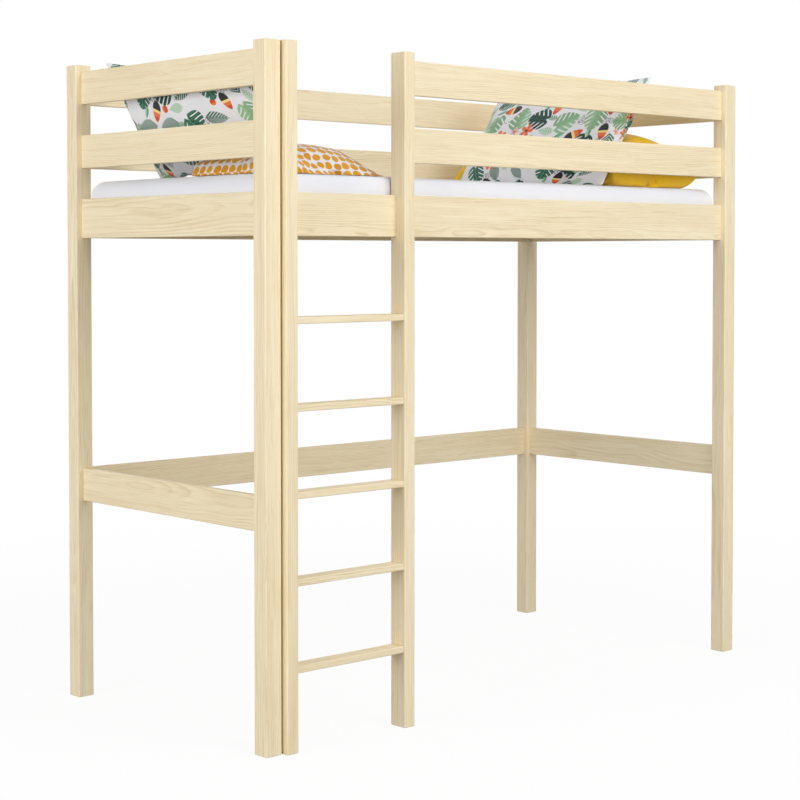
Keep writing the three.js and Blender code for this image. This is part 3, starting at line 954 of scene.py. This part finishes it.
def mattress(material):
    """Foam in a smooth cover, rolled at the ends and boxier along the sides, with a seam round its middle and
    a faintly uneven top."""
    half = np.array((mattress_high - mattress_low) / 2)
    co, faces = box_grid(half)
    inner = np.clip(co, -(half - ROLL), half - ROLL)
    out = co - inner
    wide, deep = np.abs(out[:, 0]), np.abs(out[:, 1])
    flat = (wide ** PLAN_POWER + deep ** PLAN_POWER) ** (1 / PLAN_POWER)
    power = 2 + 2 * smooth_step(half[0] - np.abs(co[:, 0]), 0.04, 0.18)
    reach = (flat ** power + np.abs(out[:, 2]) ** power) ** (1 / power)
    co = inner + out * np.where(reach > 1e-9, np.abs(out).max(1) / np.maximum(reach, 1e-9), 1)[:, None]
    height = co[:, 2] / half[2]
    level = np.clip(1 - height ** 2, 0, 1)
    side = (np.abs(out[:, :2]).max(1) >= ROLL * 0.999)
    groove = np.exp(-(co[:, 2] / SEAM_HALF) ** 2) * SEAM_DEEP
    push = np.where(side, SIDE_BULGE * level - groove, 0)
    lean = out[:, :2] / np.maximum(np.hypot(out[:, 0], out[:, 1]), 1e-9)[:, None]
    co[:, :2] += lean * push[:, None]
    wave = np.sin(co[:, 0] * 9.0 + 1.3 * np.sin(co[:, 1] * 7.0)) * np.sin(co[:, 1] * 8.0 + 0.7)
    co[:, 2] -= smooth_step(co[:, 2], half[2] - ROLL, half[2]) * (UNEVEN + UNEVEN * wave)
    co += np.array((mattress_high + mattress_low) / 2)
    uvs = []
    for face in faces:
        corners = co[face]
        normal = np.cross(corners[2] - corners[0], corners[3] - corners[1])
        first, second = np.sort(np.argsort(np.abs(normal))[:2])
        uvs += [(corner[first], corner[second]) for corner in corners]
    piece = mesh_object("mattress_cover", co, faces, uvs, material)
    declare(piece, "mattress")


# ---- Floor, light and camera -------------------------------------------------------------------------------

CAMERA_TURN = -42.341        # degrees from +Y
CAMERA_TILT = -1.846         # degrees from level
CAMERA_LENS = 82.63
CAMERA_SENSOR = 36
CAMERA_SHIFT = -0.105
CAMERA_PLACE = Vector((-4.154, -4.455, 1.3837))


def seen_share(tree):
    """1 for what the camera sees directly, in a reflection or through glass, 0 for light on the object."""
    path = tree.nodes.new("ShaderNodeLightPath")
    rays = [Field(tree, path.outputs[name]) for name in
            ("Is Camera Ray", "Is Glossy Ray", "Is Transmission Ray")]
    return rays[0].most(rays[1]).most(rays[2])


FLOOR_SIZE = 80
FLOOR_DROP = 0.0005          # below the feet
FLOOR_WHITE = 0.9            # its colour to the camera
FLOOR_TONE = 0.35            # its colour for the light that it throws back on the object
GLOW_NEAR, GLOW_FAR = 0.93, 1.0   # share of plain white that the camera sees, near the bed and away from it


def add_floor():
    """A floor that is white to the camera, so that it meets the background, and keeps a faint shadow. It
    throws less light back on the object than a white floor would."""
    bpy.ops.mesh.primitive_plane_add(size=FLOOR_SIZE, location=(0, 0, -FLOOR_DROP))
    floor = bpy.context.object
    floor.name = "floor"
    material, tree, shader = new_material("floor", 0.9)
    shader.inputs["Specular IOR Level"].default_value = 0.0
    seen = seen_share(tree)
    feed(tree, shader.inputs["Base Color"], seen * (FLOOR_WHITE - FLOOR_TONE) + FLOOR_TONE)
    white = tree.nodes.new("ShaderNodeEmission")
    white.inputs["Color"].default_value = (1, 1, 1, 1)
    mixed = tree.nodes.new("ShaderNodeMixShader")
    x, y, _ = split(tree, coordinates(tree))
    far = hypotenuse(x, y).above(2.6, 2.4)
    feed(tree, mixed.inputs[0], seen * (far * (GLOW_FAR - GLOW_NEAR) + GLOW_NEAR))
    tree.links.new(shader.outputs[0], mixed.inputs[1])
    tree.links.new(white.outputs[0], mixed.inputs[2])
    tree.links.new(mixed.outputs[0], tree.nodes["Material Output"].inputs["Surface"])
    floor.data.materials.append(material)


WORLD_LIGHT = 0.31           # strength of the world on the object; it is 1, white, to the camera


def add_world():
    world = bpy.data.worlds.new("studio")
    scene.world = world
    world.use_nodes = True
    tree = world.node_tree
    background = tree.nodes["Background"]
    background.inputs["Color"].default_value = (1, 1, 1, 1)
    feed(tree, background.inputs["Strength"], seen_share(tree) * (1 - WORLD_LIGHT) + WORLD_LIGHT)


LAMP_SIZE = 4.0
LAMP_AIM = Vector((0, 0, 1.1))


def add_lamp(name, place, watts):
    lamp = bpy.data.lights.new(name, "AREA")
    lamp.shape = "SQUARE"
    lamp.size = LAMP_SIZE
    lamp.energy = watts
    holder = bpy.data.objects.new(name, lamp)
    scene.collection.objects.link(holder)
    holder.location = place
    holder.rotation_euler = (LAMP_AIM - Vector(place)).to_track_quat("-Z", "Y").to_euler()


def add_light():
    add_lamp("front", (0, -7, 3), 228)
    add_lamp("front_top", (0, -4, 6), 110)
    add_lamp("left", (-7, -0.6, 2.3), 246)
    add_lamp("right", (7, 0.2, 3), 60)
    add_lamp("back", (1, 7, 3), 96)


def add_camera():
    lens = bpy.data.cameras.new("camera")
    lens.lens = CAMERA_LENS
    lens.sensor_width = CAMERA_SENSOR
    lens.shift_y = CAMERA_SHIFT
    camera = bpy.data.objects.new("camera", lens)
    scene.collection.objects.link(camera)
    camera.location = CAMERA_PLACE
    camera.rotation_euler = (math.radians(90 + CAMERA_TILT), 0, math.radians(CAMERA_TURN))
    scene.camera = camera


dress_frame()
mattress(mattress_material())
leaf_print = leaf_print_material()
dot_pillow = lying_dots(dot_print_material())
leaning_left(leaf_print, dot_pillow)
lying_mustard(mustard_material())
leaning_right(leaf_print)
add_floor()
add_world()
add_light()
add_camera()
scene.view_settings.view_transform = "Standard"
